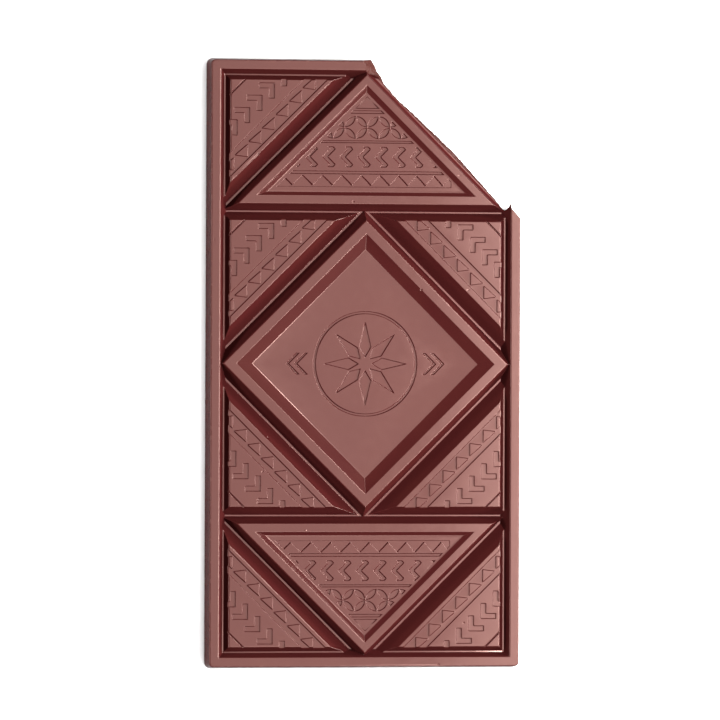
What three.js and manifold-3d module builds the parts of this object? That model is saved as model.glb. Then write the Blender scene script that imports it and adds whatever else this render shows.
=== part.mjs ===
// A bar of milk chocolate with one corner triangle snapped off. It is one solid: a thin web that carries
// a rim, a centre diamond, two big triangles and seven small ones, with V-shaped score lines between them.
// Millimetres. The bar lies on its flat back with its length along Y, its pattern facing +Z, and its origin
// at the centre of the back. Depths are measured down from the level of the rim.
import * as THREE from "three";
import { ConvexGeometry } from "three/addons/geometries/ConvexGeometry.js";
import { mergeVertices } from "three/addons/utils/BufferGeometryUtils.js";
import Module from "manifold-3d";

// Driving dimensions
const LENGTH = 146;
const WIDTH = 76;
const THICKNESS = 5.6;
const OUTER_DRAFT = 0.75; // how far the sides lean in from the back to the rim
const CORNER_RADIUS = 1.0;
const CORNER_STEPS = 4;
const RIM_WIDTH = 2.15;

const SCORE_DEPTH = 4.0;
const SCORE_FLOOR = 0.3; // width of the flat bottom of a score line
const GROOVE_DEPTH = 2.3; // the shallower groove between the rim and the small triangles
const ROW_LINE = 36.35; // distance of the two straight score lines from the middle
const DIAMOND_LINE = 37.1; // |x| + |y| on the score lines round the diamond
const TRIANGLE_LINE = 71.3; // |x| + |y| on the slanting score lines of the big triangles

const RIM_LEAN = 0.43; // run of a wall for each millimetre of depth
const DIAMOND_LEAN = 0.44;
const TRIANGLE_LEAN = 0.35; // slanting sides of the big triangles
const TRIANGLE_BASE_LEAN = 0.4;
const SMALL_LEG_LEAN = 0.57;
const SMALL_RIM_LEAN = 0.6;
const SMALL_BEVEL_LEAN = 0.93; // the broad bevel on the long side of a small triangle

const SMALL_DROP = 0.55; // the small triangles' faces lie below the rim
const TRIANGLE_FRAME = 1.65; // width of the flat frame of a big triangle
const TRIANGLE_BASE_FRAME = 2.05;
const TRIANGLE_RECESS = 0.75;
const TRIANGLE_RECESS_LEAN = 1.65;
const TRIANGLE_BASE_RECESS_LEAN = 1.25;
const DIAMOND_FRAME = 2.3;
const DIAMOND_RECESS = 1.3;
const DIAMOND_RECESS_LEAN = 2.1;

const RELIEF = 0.4; // depth of the pattern below the face it is pressed into
const MARGIN = 0.6; // plain edge round the pattern of a big triangle
const OVERRUN = 1; // how far cutting shapes stand clear of what they cut

// Pattern of a small triangle. Its frame has its origin at the right angle of the triangle's face, p
// along the leg at the bar's end and q along the leg at the bar's side.
const CORNER_GROOVE = { at: 3.4, width: 0.4 };
const CHEVRON = { p: 10.5, q: 0.7, pitch: 2.96, arm: 3.8, width: 1.38, from: -1, to: 3 };
const TOOTH_BAND = { inner: 17.3, outer: 23.2 };
const BAND_TOOTH = { p: 13.75, q: 8.65, pitch: 3.24, leg: 2.85, tilt: 0.35, from: -3, to: 4 };

// Pattern of a big triangle. Its frame has x across the bar and y measured from the middle of the bar
// towards the apex. The whole pattern sits a little to the right of the bar's centre line.
const PATTERN_SHIFT = 0.2;
const TIP = { base: 61.0, halfWidth: 3.0 };
const STRIPS = [[59.8, 60.6], [52.75, 53.4], [45.3, 46.1]];
const RING = { y: 56.5, radius: 2.75, from: -2, to: 1, petalSize: 0.94, arcSteps: 6 };
const ZIGZAG = { x: 0.9, y: 49.45, pitch: 4.25, reach: 1.85, hook: 0.62, width: 1.42, from: -5, to: 4 };
const SAW = { x: -1.37, pitch: 4.6, closing: 0.05, apex: 45.05, base: 42.65, foot: 42.25, from: -4, to: 5 };

// Ornament of the diamond: an eight-pointed star of kites inside a ring, with two chevrons on each side.
const STAR = { points: 8, tip: 10.2, waist: 4.3, hub: 1.5, gap: 0.35 };
const STAR_RING = { inner: 11.9, outer: 12.6, steps: 40 };
const SIDE_CHEVRON = { x: 14.6, pitch: 2.0, count: 2, arm: 2.6, width: 0.8 };

// The missing corner. The break crosses the rim at the bar's end, runs just outside the big triangle's
// slanting score line, wavering a little, and crosses the rim at the bar's side, where it leaves a spike.
const BREAK_END = [[2.1, 74], [2.1, 72.6], [2.6, 71.0], [3.7, 69.0]];
const BREAK_SIDE = [[34.2, 36.8], [35.0, 38.1], [35.3, 36.8], [36.5, 35.8], [37.4, 34.7], [39, 33.4]];
const BREAK_RUN = { from: 4.6, to: 33.3, steps: 22, offset: 0.45, waver: 0.25 };
// The end rim's broken face leans: this is how far it slopes back from the back of the bar to the rim.
const BREAK_SLOPE = 2.6;

const SLANT = Math.SQRT1_2;

const wasm = await Module();
wasm.setup();

function solidFrom(geometry) {
  const bare = geometry.clone();
  bare.deleteAttribute("normal");
  bare.deleteAttribute("uv");
  const merged = mergeVertices(bare, 1e-5);
  return new wasm.Manifold(
    new wasm.Mesh({
      numProp: 3,
      vertProperties: new Float32Array(merged.attributes.position.array),
      triVerts: new Uint32Array(merged.index.array),
    }),
  );
}

const joined = (solids) => solids.reduce((all, one) => all.add(one));
const heightAt = (depth) => THICKNESS - depth;

// A side of a frustum is a wall whose line is x*nx + y*ny = reach at depth 0, moving out by lean per
// millimetre of depth. Sides are listed anticlockwise.
const side = (nx, ny, reach, lean) => ({ nx, ny, reach, lean });

function outlineAt(sides, depth) {
  return sides.map((a, i) => {
    const b = sides[(i + 1) % sides.length];
    const reachA = a.reach + a.lean * depth;
    const reachB = b.reach + b.lean * depth;
    const det = a.nx * b.ny - a.ny * b.nx;
    return new THREE.Vector2(
      (reachA * b.ny - reachB * a.ny) / det,
      (reachB * a.nx - reachA * b.nx) / det,
    );
  });
}

function frustum(sides, upperDepth, lowerDepth) {
  const corners = [upperDepth, lowerDepth].flatMap((depth) =>
    outlineAt(sides, depth).map((p) => new THREE.Vector3(p.x, p.y, heightAt(depth))),
  );
  return solidFrom(new ConvexGeometry(corners));
}

// A straight-walled cutter with the given outline, from above upperDepth down to lowerDepth.
function prism(outline, upperDepth, lowerDepth) {
  const shape = new THREE.Shape(outline);
  const geometry = new THREE.ExtrudeGeometry(shape, {
    depth: lowerDepth - upperDepth,
    bevelEnabled: false,
    curveSegments: 1,
  });
  geometry.translate(0, 0, heightAt(lowerDepth));
  return solidFrom(geometry);
}

// Body, rim and pieces

function roundedSlab() {
  const corners = [];
  for (const [depth, draft] of [[0, OUTER_DRAFT], [THICKNESS, 0]]) {
    for (const [sx, sy] of [[1, 1], [-1, 1], [-1, -1], [1, -1]]) {
      for (let i = 0; i <= CORNER_STEPS; i++) {
        const angle = (Math.PI / 2) * (i / CORNER_STEPS);
        const reachX = WIDTH / 2 - draft - CORNER_RADIUS * (1 - Math.cos(angle));
        const reachY = LENGTH / 2 - draft - CORNER_RADIUS * (1 - Math.sin(angle));
        corners.push(new THREE.Vector3(sx * reachX, sy * reachY, heightAt(depth)));
      }
    }
  }
  return solidFrom(new ConvexGeometry(corners));
}

const RIM_INNER_X = WIDTH / 2 - OUTER_DRAFT - RIM_WIDTH;
const RIM_INNER_Y = LENGTH / 2 - OUTER_DRAFT - RIM_WIDTH;

const rimCavity = () =>
  frustum(
    [
      side(1, 0, RIM_INNER_X, -RIM_LEAN),
      side(0, 1, RIM_INNER_Y, -RIM_LEAN),
      side(-1, 0, RIM_INNER_X, -RIM_LEAN),
      side(0, -1, RIM_INNER_Y, -RIM_LEAN),
    ],
    -OVERRUN,
    SCORE_DEPTH,
  );

// The wall that rises from the edge of a score line's floor to reach the rim's level.
function scoreWall(nx, ny, line, lean) {
  const foot = line - SCORE_FLOOR / 2;
  return side(nx, ny, foot - lean * SCORE_DEPTH, lean);
}

const diamondSides = () =>
  [[1, 1], [-1, 1], [-1, -1], [1, -1]].map(([sx, sy]) =>
    scoreWall(sx * SLANT, sy * SLANT, DIAMOND_LINE * SLANT, DIAMOND_LEAN),
  );

function triangleSides(end) {
  const slanting = (sx) =>
    scoreWall(sx * SLANT, end * SLANT, TRIANGLE_LINE * SLANT, TRIANGLE_LEAN);
  const base = scoreWall(0, -end, -ROW_LINE, TRIANGLE_BASE_LEAN);
  return end > 0 ? [slanting(1), slanting(-1), base] : [slanting(-1), slanting(1), base];
}

const inset = (sides, frames) =>
  sides.map((s, i) => side(s.nx, s.ny, s.reach - frames[i], s.lean));

// Frame widths and recess leans of a big triangle, for its sides in the order of triangleSides.
const triangleFrames = [TRIANGLE_FRAME, TRIANGLE_FRAME, TRIANGLE_BASE_FRAME];
const triangleRecessLeans = [
  TRIANGLE_RECESS_LEAN,
  TRIANGLE_RECESS_LEAN,
  TRIANGLE_BASE_RECESS_LEAN,
];

// The hollow inside a frame: its walls lean inwards as they go down.
function recess(sides, frames, leans, depth) {
  const walls = inset(sides, frames).map((s, i) => side(s.nx, s.ny, s.reach, -leans[i]));
  return frustum(walls, -OVERRUN, depth);
}

// The small triangles. A corner is described by the side of the bar it is on (sx), the end of the bar it
// points to (sy), and whether it lies in the outer row, against the rim, or in the inner row.
const smallCorners = [
  { sx: -1, sy: 1, outer: true },
  { sx: 1, sy: -1, outer: true },
  { sx: -1, sy: -1, outer: true },
  { sx: -1, sy: 1, outer: false },
  { sx: 1, sy: 1, outer: false },
  { sx: -1, sy: -1, outer: false },
  { sx: 1, sy: -1, outer: false },
];

const GROOVE_LINE_X = RIM_INNER_X - RIM_LEAN * GROOVE_DEPTH - SCORE_FLOOR / 2;
const GROOVE_LINE_Y = RIM_INNER_Y - RIM_LEAN * GROOVE_DEPTH - SCORE_FLOOR / 2;

function rimLeg(nx, ny, line) {
  const foot = line - SCORE_FLOOR / 2;
  return side(nx, ny, foot - SMALL_RIM_LEAN * GROOVE_DEPTH, SMALL_RIM_LEAN);
}

function smallSides({ sx, sy, outer }) {
  const sideLeg = rimLeg(sx, 0, GROOVE_LINE_X);
  const endLeg = outer
    ? rimLeg(0, sy, GROOVE_LINE_Y)
    : scoreWall(0, sy, ROW_LINE, SMALL_LEG_LEAN);
  const line = outer ? TRIANGLE_LINE : DIAMOND_LINE;
  const bevel = scoreWall(-sx * SLANT, -sy * SLANT, -line * SLANT, SMALL_BEVEL_LEAN);
  return sx * sy > 0 ? [sideLeg, endLeg, bevel] : [endLeg, sideLeg, bevel];
}

// The floor of the groove along the rim is a low shelf that reaches from the small triangle under the rim.
function shelfSides(corner) {
  const underRim = RIM_WIDTH + RIM_LEAN * SCORE_DEPTH;
  const isRimLeg = (s) => s.lean === SMALL_RIM_LEAN;
  return smallSides(corner).map((s) =>
    isRimLeg(s) ? side(s.nx, s.ny, s.reach + underRim, 0) : s,
  );
}

function smallTriangle(corner) {
  const piece = frustum(smallSides(corner), SMALL_DROP, SCORE_DEPTH + OVERRUN);
  const shelf = frustum(shelfSides(corner), GROOVE_DEPTH, SCORE_DEPTH + OVERRUN);
  return piece.add(shelf);
}

// Pattern of a small triangle

// The strip between the lines p + q = inner and p + q = outer.
const slantingStrip = (inner, outer) => [
  [inner + OVERRUN, -OVERRUN],
  [outer + OVERRUN, -OVERRUN],
  [-OVERRUN, outer + OVERRUN],
  [-OVERRUN, inner + OVERRUN],
];

function repeated({ p, q, pitch, from, to }, outlineOf) {
  const outlines = [];
  for (let k = from; k <= to; k++) outlines.push(outlineOf(p - k * pitch, q + k * pitch));
  return outlines;
}

const chevronAt = (p, q) => {
  const { arm, width } = CHEVRON;
  return [
    [p, q],
    [p, q + arm],
    [p - width, q + arm],
    [p - width, q + width],
    [p - arm, q + width],
    [p - arm, q],
  ];
};

const bandToothAt = (p, q) => [
  [p, q],
  [p - BAND_TOOTH.leg, q - BAND_TOOTH.tilt],
  [p, q - BAND_TOOTH.leg],
];

function smallPattern(corner) {
  const { sx, sy } = corner;
  const sides = smallSides(corner);
  const depth = SMALL_DROP + RELIEF;
  const face = outlineAt(sides, SMALL_DROP);
  const rightAngle = face[0];
  const place = ([p, q]) => new THREE.Vector2(rightAngle.x - sx * p, rightAngle.y - sy * q);
  const cut = (outline) => prism(outline.map(place), SMALL_DROP - OVERRUN, depth);
  const grooveHalf = CORNER_GROOVE.width * SLANT;
  const groove = slantingStrip(CORNER_GROOVE.at - grooveHalf, CORNER_GROOVE.at + grooveHalf);
  const band = cut(slantingStrip(TOOTH_BAND.inner, TOOTH_BAND.outer));
  const teeth = joined(repeated(BAND_TOOTH, bandToothAt).map(cut));
  const chevrons = joined(repeated(CHEVRON, chevronAt).map(cut));
  // The pattern runs out through the face's edges, as far as the walls have sunk to its own depth.
  const overFace = frustum(
    sides.map((s) => side(s.nx, s.ny, s.reach + s.lean * depth + RELIEF / 4, 0)),
    -OVERRUN,
    depth + OVERRUN,
  );
  return cut(groove).add(band.subtract(teeth)).add(chevrons).intersect(overFace);
}

// Pattern of a big triangle

const spanStrip = (y0, y1) => [[-WIDTH, y0], [WIDTH, y0], [WIDTH, y1], [-WIDTH, y1]];
const tip = [
  [-TIP.halfWidth, TIP.base],
  [TIP.halfWidth, TIP.base],
  [0, TIP.base + TIP.halfWidth],
];

// The lens between a circle and an equal one that is moved diagonally by one radius: it runs from the
// circle's side to its top, and is a little smaller than the full lens, so that petals don't touch.
function petal(x, y, sx, sy) {
  const { radius, petalSize, arcSteps } = RING;
  const outline = [];
  const add = (u, v) => {
    const fromMiddle = (w) => radius * (0.5 + petalSize * (w - 0.5));
    outline.push([x + sx * fromMiddle(u), y + sy * fromMiddle(v)]);
  };
  for (let i = 0; i <= arcSteps; i++) {
    const angle = (Math.PI / 2) * (i / arcSteps);
    add(Math.cos(angle), Math.sin(angle));
  }
  for (let i = arcSteps - 1; i > 0; i--) {
    const angle = (Math.PI / 2) * (i / arcSteps);
    add(1 - Math.sin(angle), 1 - Math.cos(angle));
  }
  return outline;
}

function rings() {
  const petals = [];
  for (let k = RING.from; k <= RING.to; k++) {
    const x = (k + 0.5) * 2 * RING.radius;
    for (const [sx, sy] of [[1, 1], [-1, 1], [-1, -1], [1, -1]])
      petals.push(petal(x, RING.y, sx, sy));
  }
  return petals;
}

// A standing zigzag: two long strokes that meet on the left, with a short hook back at each end.
function zigzags() {
  const { reach, hook, width } = ZIGZAG;
  const rightEdge = [
    [-hook, reach + hook],
    [0, reach],
    [-reach, 0],
    [0, -reach],
    [-hook, -reach - hook],
  ];
  const outlines = [];
  for (let k = ZIGZAG.from; k <= ZIGZAG.to; k++) {
    const x = ZIGZAG.x + k * ZIGZAG.pitch;
    const moved = (dx) => rightEdge.map(([px, py]) => [x + px + dx, ZIGZAG.y + py]);
    outlines.push([...moved(0), ...moved(-width).reverse()]);
  }
  return outlines;
}

// A row of teeth on a common foot. The teeth draw closer together towards the right.
function saw() {
  const toothX = (k) => SAW.x + SAW.pitch * k - SAW.closing * k * k;
  const upper = [];
  for (let k = SAW.from; k <= SAW.to; k++) {
    const x = toothX(k);
    const valleyX = (x + toothX(k + 1)) / 2;
    upper.push([x, SAW.apex], [valleyX, SAW.base]);
  }
  const endX = upper[upper.length - 1][0];
  const startX = (toothX(SAW.from - 1) + toothX(SAW.from)) / 2;
  return [[[startX, SAW.foot], [startX, SAW.base], ...upper, [endX, SAW.foot]]];
}

function trianglePattern(end) {
  const depth = TRIANGLE_RECESS + RELIEF;
  const place = ([x, y]) => new THREE.Vector2(x + PATTERN_SHIFT, end * y);
  const cut = (outline) => prism(outline.map(place), -OVERRUN, depth);
  const strips = STRIPS.map(([y0, y1]) => spanStrip(y0, y1));
  const motifs = joined([tip, ...strips, ...rings(), ...zigzags(), ...saw()].map(cut));
  const field = inset(triangleSides(end), triangleFrames).map((s, i) => {
    const foot = s.reach - triangleRecessLeans[i] * TRIANGLE_RECESS;
    return side(s.nx, s.ny, foot - MARGIN + s.nx * PATTERN_SHIFT, 0);
  });
  return motifs.intersect(frustum(field, -OVERRUN, depth + OVERRUN));
}

// Ornament of the diamond

const polar = (radius, angle) => [radius * Math.cos(angle), radius * Math.sin(angle)];

function starKite(k) {
  const middle = (2 * Math.PI * k) / STAR.points;
  const half = Math.PI / STAR.points - STAR.gap / STAR.waist / 2;
  return [
    polar(STAR.hub, middle),
    polar(STAR.waist, middle - half),
    polar(STAR.tip, middle),
    polar(STAR.waist, middle + half),
  ];
}

const circle = (radius, steps) =>
  Array.from({ length: steps }, (_, i) => polar(radius, (2 * Math.PI * i) / steps));

function sideChevrons() {
  const { x, pitch, count, arm, width } = SIDE_CHEVRON;
  const outlines = [];
  for (const sx of [1, -1]) {
    for (let k = 0; k < count; k++) {
      const point = x + k * pitch;
      outlines.push([
        [sx * (point + arm), 0],
        [sx * point, arm],
        [sx * (point - width), arm],
        [sx * (point + arm - width), 0],
        [sx * (point - width), -arm],
        [sx * point, -arm],
      ]);
    }
  }
  return outlines;
}

function diamondPattern() {
  const depth = DIAMOND_RECESS + RELIEF;
  const cut = (outline) =>
    prism(outline.map(([x, y]) => new THREE.Vector2(x, y)), DIAMOND_RECESS - OVERRUN, depth);
  const kites = Array.from({ length: STAR.points }, (_, k) => starKite(k));
  const ring = cut(circle(STAR_RING.outer, STAR_RING.steps)).subtract(
    cut(circle(STAR_RING.inner, STAR_RING.steps)),
  );
  return joined([...kites, ...sideChevrons()].map(cut)).add(ring);
}

// The missing corner

function breakRun() {
  const { from, to, steps, offset, waver } = BREAK_RUN;
  const points = [];
  for (let i = 0; i <= steps; i++) {
    const x = from + ((to - from) * i) / steps;
    const ripple = Math.sin(0.37 * x) + 0.6 * Math.sin(1.9 * x + 1) + 0.4 * Math.sin(4.3 * x);
    const out = offset + waver * ripple;
    points.push([x + out / 2, TRIANGLE_LINE - x + out / 2]);
  }
  return points;
}

function missingCorner() {
  const startX = BREAK_END[0][0];
  const endY = BREAK_SIDE[BREAK_SIDE.length - 1][1];
  const outside = [[WIDTH, endY], [WIDTH, LENGTH], [startX, LENGTH]];
  const outline = [...BREAK_END, ...breakRun(), ...BREAK_SIDE, ...outside];
  return prism(outline.map(([x, y]) => new THREE.Vector2(x, y)), -OVERRUN, THICKNESS + OVERRUN);
}

function slopingBreak() {
  const [outer, inner] = [BREAK_END[0], BREAK_END[BREAK_END.length - 1]];
  const corners = [outer, inner].flatMap(([x, y]) => [
    new THREE.Vector3(x, y, 0),
    new THREE.Vector3(x - BREAK_SLOPE, y, THICKNESS),
    new THREE.Vector3(x - BREAK_SLOPE, y, THICKNESS + OVERRUN),
    new THREE.Vector3(x + BREAK_SLOPE, y, THICKNESS + OVERRUN),
    new THREE.Vector3(x + BREAK_SLOPE, y, 0),
  ]);
  return solidFrom(new ConvexGeometry(corners));
}

function chocolateBar() {
  let bar = roundedSlab().subtract(rimCavity());
  bar = bar.add(frustum(diamondSides(), 0, SCORE_DEPTH + OVERRUN));
  for (const end of [1, -1]) bar = bar.add(frustum(triangleSides(end), 0, SCORE_DEPTH + OVERRUN));
  for (const corner of smallCorners) bar = bar.add(smallTriangle(corner));
  bar = bar.subtract(
    recess(
      diamondSides(),
      Array(4).fill(DIAMOND_FRAME),
      Array(4).fill(DIAMOND_RECESS_LEAN),
      DIAMOND_RECESS,
    ),
  );
  for (const end of [1, -1]) {
    const hollow = recess(triangleSides(end), triangleFrames, triangleRecessLeans, TRIANGLE_RECESS);
    bar = bar.subtract(hollow).subtract(trianglePattern(end));
  }
  for (const corner of smallCorners) bar = bar.subtract(smallPattern(corner));
  return bar.subtract(diamondPattern()).subtract(missingCorner()).subtract(slopingBreak());
}

function meshFrom(solid, name, material) {
  const { numProp, vertProperties, triVerts } = solid.getMesh();
  const position = new Float32Array((vertProperties.length / numProp) * 3);
  for (let i = 0; i < position.length / 3; i++)
    position.set(vertProperties.subarray(i * numProp, i * numProp + 3), i * 3);
  const geometry = new THREE.BufferGeometry();
  geometry.setAttribute("position", new THREE.BufferAttribute(position, 3));
  geometry.setIndex(new THREE.BufferAttribute(new Uint32Array(triVerts), 1));
  geometry.computeVertexNormals();
  const mesh = new THREE.Mesh(geometry, material);
  mesh.name = name;
  return mesh;
}

const milkChocolate = new THREE.MeshStandardMaterial({
  color: 0x6e3a32,
  roughness: 0.42,
  metalness: 0,
});

const group = new THREE.Group();
group.add(meshFrom(chocolateBar(), "chocolate_bar", milkChocolate));

export default group;
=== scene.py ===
"""A bar of milk chocolate with one corner snapped off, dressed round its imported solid.

The patterned face is a height field over a net of triangles whose lines follow every edge of the moulding,
so that each edge can be rounded. The net is joined to the sides, the broken face and the flat back, and the
bar is one closed mesh. Lengths are in millimetres until the mesh is made. Depths are measured down from the
level of the rim.
"""
import math
from collections import namedtuple

import bpy
import numpy as np
from mathutils import Matrix, Vector, noise
from mathutils.geometry import delaunay_2d_cdt


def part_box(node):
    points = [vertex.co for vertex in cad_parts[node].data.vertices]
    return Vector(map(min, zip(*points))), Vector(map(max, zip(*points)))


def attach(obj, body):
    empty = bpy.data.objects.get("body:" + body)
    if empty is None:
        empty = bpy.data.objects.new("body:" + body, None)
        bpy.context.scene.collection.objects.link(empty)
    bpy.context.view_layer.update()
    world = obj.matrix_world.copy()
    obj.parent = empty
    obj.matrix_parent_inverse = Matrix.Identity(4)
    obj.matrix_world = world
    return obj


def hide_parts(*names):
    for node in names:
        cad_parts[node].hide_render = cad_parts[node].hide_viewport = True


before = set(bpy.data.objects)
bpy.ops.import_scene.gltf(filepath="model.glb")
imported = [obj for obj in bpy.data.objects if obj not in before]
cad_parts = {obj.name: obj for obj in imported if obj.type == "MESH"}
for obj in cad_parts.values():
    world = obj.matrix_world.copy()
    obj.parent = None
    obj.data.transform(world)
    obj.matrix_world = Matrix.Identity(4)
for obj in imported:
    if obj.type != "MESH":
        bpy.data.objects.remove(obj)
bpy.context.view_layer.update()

MM = 0.001
low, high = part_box("chocolate_bar")
WIDTH, LENGTH, THICKNESS = ((high - low) / MM)[:]

# Body, rim and pieces, as in the solid but for small changes that bring the render closer to the photo
OUTER_DRAFT = 0.6
CORNER_RADIUS = 1.0
RIM_WIDTH = 2.3
SCORE_DEPTH = 4.0
SCORE_FLOOR = 0.38
DIAGONAL_FLOOR = 0.5
GROOVE_DEPTH = 2.3
ROW_LINE = 36.35
DIAMOND_LINE = 37.1
TRIANGLE_LINE = 71.3
RIM_LEAN = 0.43
DIAMOND_LEAN = 0.415
TRIANGLE_LEAN = 0.31
TRIANGLE_BASE_LEAN = 0.4
SMALL_LEG_LEAN = 0.57
SMALL_RIM_LEAN = 0.6
SMALL_BEVEL_LEAN = 0.868
SMALL_DROP = 0.55
TRIANGLE_FRAME = 1.83
TRIANGLE_BASE_FRAME = 2.0
TRIANGLE_RECESS = 0.75
TRIANGLE_RECESS_LEAN = 1.65
TRIANGLE_BASE_RECESS_LEAN = 1.25
DIAMOND_FRAME = 2.3
DIAMOND_RECESS = 1.3
DIAMOND_RECESS_LEAN = 2.1

# Pattern of a small triangle: p runs from the right angle along the leg at the bar's end, q along the other
RELIEF = 0.25
CORNER_GROOVE = {"at": 3.4, "width": 0.4}
CHEVRON = {"p": 10.5, "q": 0.7, "pitch": 2.96, "arm": 3.8, "width": 1.38, "range": range(-1, 4)}
TOOTH_BAND = {"inner": 17.3, "outer": 23.2}
SMALL_OVERRUN = 0.4  # how far the pattern runs on past the face's edge
BAND_TOOTH = {"p": 13.75, "q": 8.65, "pitch": 3.24, "leg": 2.85, "tilt": 0.35, "range": range(-3, 5)}

# Pattern of a big triangle: x runs across the bar, y from the bar's middle towards the apex
MARGIN = 0.6  # plain border inside the sunken part's foot
PATTERN_SHIFT = 0.2
TIP = {"base": 61.0, "half_width": 3.0}
STRIPS = ((59.8, 60.6), (52.75, 53.4), (45.3, 46.1))
RING = {"y": 56.5, "radius": 2.75, "range": range(-2, 2), "petal_size": 0.94, "steps": 14}
ZIGZAG = {
    "x": 0.9, "y": 49.45, "pitch": 4.25, "reach": 1.85, "hook": 0.62, "width": 1.42, "range": range(-5, 5),
}
SAW = {
    "x": -1.37, "pitch": 4.6, "closing": 0.05, "apex": 45.05, "base": 42.65, "foot": 42.25,
    "range": range(-4, 6), "stroke": 0.28, "relief": 0.1,
}

# Ornament of the diamond
STAR = {"points": 8, "tip": 10.2, "waist": 4.3, "hub": 1.5, "gap": 0.35}
STAR_RING = {"inner": 11.9, "outer": 12.6, "steps": 96}
SIDE_CHEVRON = {"x": 14.6, "pitch": 2.0, "count": 2, "arm": 2.6, "width": 0.8}

# Chips, pits and one lump, whose depth is negative: place, half length, half width, turn of the length from
# the x axis, and depth
Dent = namedtuple("Dent", "x y length width turn depth")
DENTS = [
    Dent(-26.0, 49.9, 0.28, 0.22, 0.8, 0.2),
    Dent(-23.5, -17.7, 0.28, 0.24, -0.8, 0.2),
    Dent(-24.75, -25.75, 0.26, 0.15, 0.9, 0.08),
    Dent(24.85, 17.8, 0.28, 0.13, 0.1, 0.06),
    Dent(22.45, 45.2, 0.28, 0.11, 0.15, 0.04),
    Dent(-14.4, -39.8, 0.22, 0.18, 0.0, -0.04),
    Dent(-3.15, 38.75, 0.2, 0.18, 0.0, 0.08),
    Dent(24.0, -61.9, 0.2, 0.18, 0.0, 0.08),
    Dent(13.35, 17.75, 0.28, 0.22, -0.8, 0.15),
    Dent(-36.65, 29.45, 0.18, 0.18, 0.0, 0.07),
    Dent(17.9, -71.9, 0.28, 0.18, 0.0, 0.12),
]

DENT_REACH = 1.8  # a dent ends at so many of its half lengths, inside the fine net round it

# Rounding that the moulding gives to its edges
EDGE_ROUND = 0.4
RECESS_ROUND = 0.35
OUTER_ROUND = 0.38
BASE_ROUND = 0.12
RELIEF_ROUND = 0.14
RELIEF_RUN = 0.15  # how far a wall of the pattern leans over its depth
FOOT_BLEND = 0.11  # depth over which two surfaces melt into each other at the foot of a wall
TRIANGLE_RECESS_BLEND = 0.16
DIAMOND_RECESS_BLEND = 0.07
MITRE_BLEND = 0.12
RELIEF_BLEND = 0.07
PLAN_ROUND = 0.22  # rounding of the pattern's corners, seen from above
TOOTH_ROUND = PLAN_ROUND / 3
STAR_ROUND = PLAN_ROUND / 2
ARC_STEPS = 6

SLANT = math.sqrt(0.5)
TINY = 1e-6
Side = namedtuple("Side", "nx ny reach lean")


# Profiles


def fillet(t, slope, radius):
    """Depth at a distance t outside a flat face's edge: a wall of that slope, with its edge rounded."""
    angle = math.atan(slope)
    start = -radius * math.tan(angle / 2)
    end = start + radius * math.sin(angle)
    inside_arc = np.clip(t - start, 0, end - start)
    arc = radius - np.sqrt(radius**2 - inside_arc**2)
    return np.where(t < end, arc, slope * t)


def fillet_reach(depth, slope, radius):
    """The distance outside the edge at which a rounded wall has sunk to a depth."""
    angle = math.atan(slope)
    if depth >= radius * (1 - math.cos(angle)):
        return depth / slope
    return radius * (math.sqrt(1 - (1 - depth / radius) ** 2) - math.tan(angle / 2))


def fillet_depths(slope, radius):
    """Depths that cut a rounded edge into even steps of angle."""
    angle = math.atan(slope)
    return [radius * (1 - math.cos(angle * i / ARC_STEPS)) for i in range(ARC_STEPS + 1)]


def blend_width(depth, blend):
    """Surfaces melt into each other only where they have left the flat face."""
    return np.clip(np.minimum(blend, 0.5 * depth), TINY, None)


def smooth_min(values, blend):
    values = np.sort(np.stack(np.broadcast_arrays(*values)), axis=0)
    width = blend_width(values[0], blend)
    h = np.clip(width - (values[1] - values[0]), 0, None)
    return values[0] - h * h / (4 * width)


def smooth_max(values, blend):
    values = np.sort(np.stack(np.broadcast_arrays(*values)), axis=0)
    width = blend_width(values[-1], blend)
    h = np.clip(width - (values[-1] - values[-2]), 0, None)
    return values[-1] + h * h / (4 * width)


# Lines and outlines


def outline(sides, offsets):
    """Corners of the convex outline whose sides stand that far outside their own lines."""
    corners = []
    for a, b, da, db in zip(sides, sides[1:] + sides[:1], offsets, offsets[1:] + offsets[:1]):
        ra, rb = a.reach + da, b.reach + db
        det = a.nx * b.ny - a.ny * b.nx
        corners.append(((ra * b.ny - rb * a.ny) / det, (rb * a.nx - ra * b.nx) / det))
    return corners


def closed(points):
    """Segments round a closed outline."""
    return list(zip(points, points[1:] + points[:1]))


def clipped(segment, sides, margin):
    """The part of a segment within margin of a convex region, or None."""
    (x0, y0), (x1, y1) = segment
    start, end = 0.0, 1.0
    for s in sides:
        d0 = s.nx * x0 + s.ny * y0 - s.reach - margin
        d1 = s.nx * x1 + s.ny * y1 - s.reach - margin
        if d0 > 0 and d1 > 0:
            return None
        if d0 > 0:
            start = max(start, d0 / (d0 - d1))
        elif d1 > 0:
            end = min(end, d0 / (d0 - d1))
    if start >= end:
        return None
    return tuple((x0 + f * (x1 - x0), y0 + f * (y1 - y0)) for f in (start, end))


def signed_area(points):
    return 0.5 * sum(x0 * y1 - x1 * y0 for (x0, y0), (x1, y1) in closed(points))


def anticlockwise(points):
    return list(points) if signed_area(points) > 0 else list(points)[::-1]


def shrunk(points, distance):
    """An anticlockwise outline moved inwards, with mitred corners."""
    moved = []
    for before, here, after in zip(points[-1:] + points[:-1], points, points[1:] + points[:1]):
        a = Vector(here) - Vector(before)
        b = Vector(after) - Vector(here)
        a.normalize()
        b.normalize()
        bisector = Vector((-a.y - b.y, a.x + b.x))
        moved.append(tuple(Vector(here) + bisector * (2 * distance / bisector.length_squared)))
    return moved


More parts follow.
